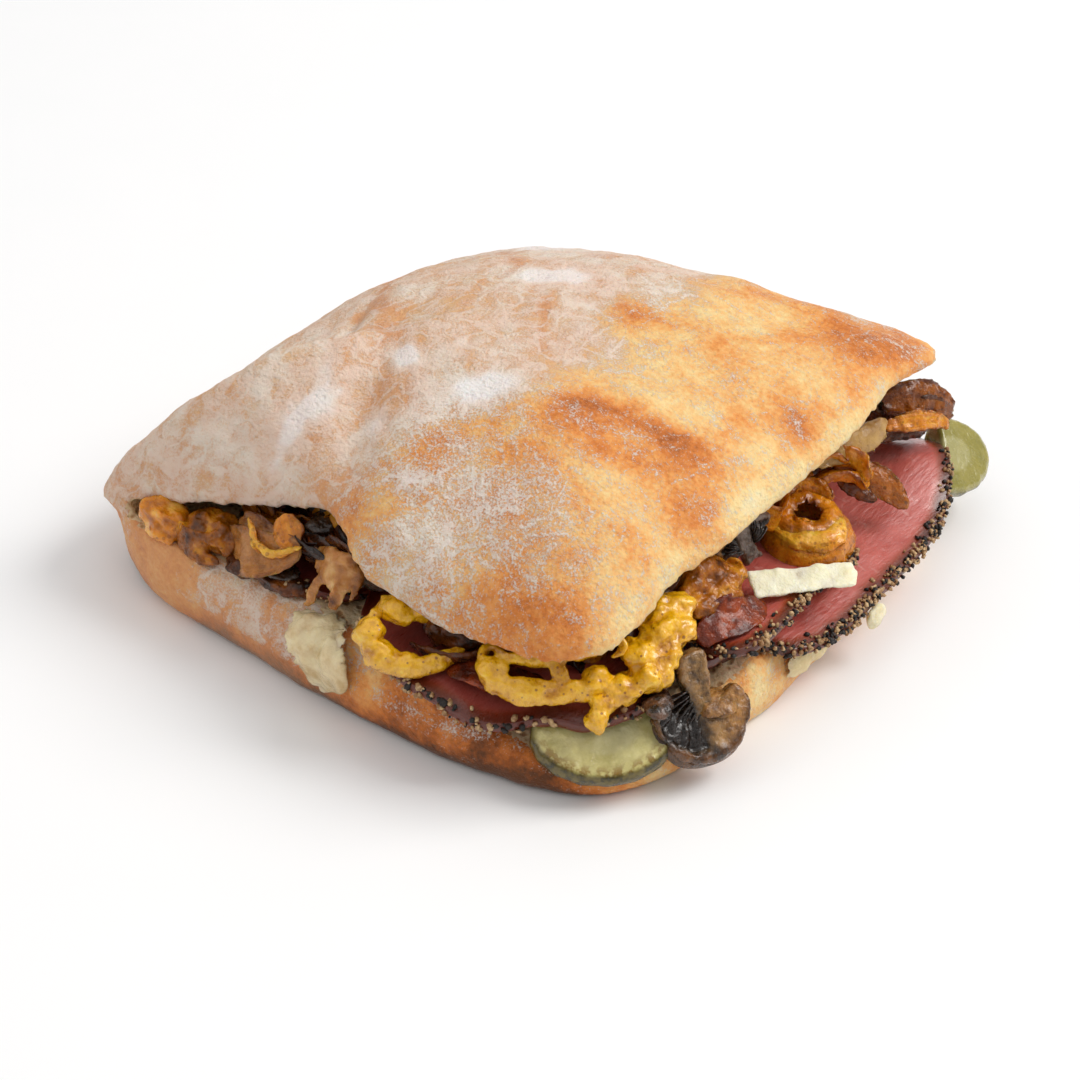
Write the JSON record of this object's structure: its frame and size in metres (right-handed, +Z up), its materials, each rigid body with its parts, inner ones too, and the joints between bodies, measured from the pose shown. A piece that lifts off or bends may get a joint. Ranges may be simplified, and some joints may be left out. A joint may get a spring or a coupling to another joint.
{
  "type": "roast beef sandwich",
  "caption": "Square ciabatta roll, hinged along one side, its lid tilted open over peppered roast beef, fried onions, mushrooms, mustard, pickles and melted cheese.",
  "frame": {"origin": "bottom centre of the whole sandwich's bounding box, on the surface it lies on", "axes": "+Z up; the roll's hinge side faces -X and its open side, where the filling shows most, faces +X; -Y is the open front side"},
  "size_m": [0.168, 0.167, 0.0657],
  "materials": {
    "ciabatta_roll": "baked crust with a dusting of flour, pale crumb at the cut edges",
    "pickle_near": "wet translucent pickled cucumber with a dark green skin",
    "pickle_far": "wet olive-green pickled cucumber",
    "beef_slice_lower": "moist pink roast beef with a browned, peppered rim",
    "beef_slice_left": "moist pink roast beef with a browned, peppered rim",
    "beef_slice_front": "moist pink roast beef with a browned, peppered rim",
    "beef_slice_upper": "moist pink roast beef with a browned, peppered rim",
    "mushroom_front": "fried mushroom, dark gills and glossy brown rim",
    "mushroom_side": "fried mushroom, grey-brown",
    "mushroom_back": "fried mushroom, brown",
    "mushroom_left": "fried mushroom, nearly black",
    "mushroom_under_glob": "fried mushroom, dark brown",
    "cheese_melted_left": "melted white cheese",
    "cheese_melted_right": "melted cream cheese",
    "cheese_scrap_right": "crumb of white cheese",
    "cheese_shaving": "dry shaving of white cheese with torn ends",
    "cheese_under_lid": "translucent half-melted cheese",
    "mustard_glob_front": "thick golden mustard",
    "mustard_ring_front": "onion coated in golden mustard",
    "mustard_hook_left": "onion coated in golden mustard",
    "mustard_blob_left": "golden mustard",
    "onion_ring_side": "fried onion ring, golden and glossy",
    "onion_strand_golden": "fried onion, golden",
    "onion_strand_brown": "fried onion, brown and translucent",
    "onion_far": "fried onion, dark brown and wet",
    "onion_brown_side": "fried onion, golden brown",
    "onion_glossy_side": "fried onion, red-brown and wet",
    "onion_brown_front": "fried onion, dark brown",
    "onion_glossy_front": "fried onion, translucent brown",
    "onion_petal_left": "fried onion, tan with a golden rim",
    "onion_shred_left": "fried onion shreds, tan",
    "onion_ring_back": "fried onion ring, golden brown",
    "onion_strand_back": "fried onion, brown",
    "onion_brown_back": "fried onion, brown",
    "onion_brown_left": "fried onion, brown",
    "onion_orange_left": "fried onion, orange",
    "filling_heap": "heap of fried onions and mushrooms"
  },
  "bodies": {
    "root": {"ciabatta_roll": "ciabatta_roll", "pickle_near": "pickle_near", "pickle_far": "pickle_far", "beef_slice_lower": "beef_slice_lower", "beef_slice_left": "beef_slice_left", "beef_slice_front": "beef_slice_front", "beef_slice_upper": "beef_slice_upper", "mushroom_front": "mushroom_front", "mushroom_side": "mushroom_side", "mushroom_back": "mushroom_back", "mushroom_left": "mushroom_left", "mushroom_under_glob": "mushroom_under_glob", "cheese_melted_left": "cheese_melted_left", "cheese_melted_right": "cheese_melted_right", "cheese_scrap_right": "cheese_scrap_right", "cheese_shaving": "cheese_shaving", "cheese_under_lid": "cheese_under_lid", "mustard_glob_front": "mustard_glob_front", "mustard_ring_front": "mustard_ring_front", "mustard_hook_left": "mustard_hook_left", "mustard_blob_left": "mustard_blob_left", "onion_ring_side": "onion_ring_side", "onion_strand_golden": "onion_strand_golden", "onion_strand_brown": "onion_strand_brown", "onion_far": "onion_far", "onion_brown_side": "onion_brown_side", "onion_glossy_side": "onion_glossy_side", "onion_brown_front": "onion_brown_front", "onion_glossy_front": "onion_glossy_front", "onion_petal_left": "onion_petal_left", "onion_shred_left": "onion_shred_left", "onion_ring_back": "onion_ring_back", "onion_strand_back": "onion_strand_back", "onion_brown_back": "onion_brown_back", "onion_brown_left": "onion_brown_left", "onion_orange_left": "onion_orange_left", "filling_heap": "filling_heap"}
  },
  "joints": []
}
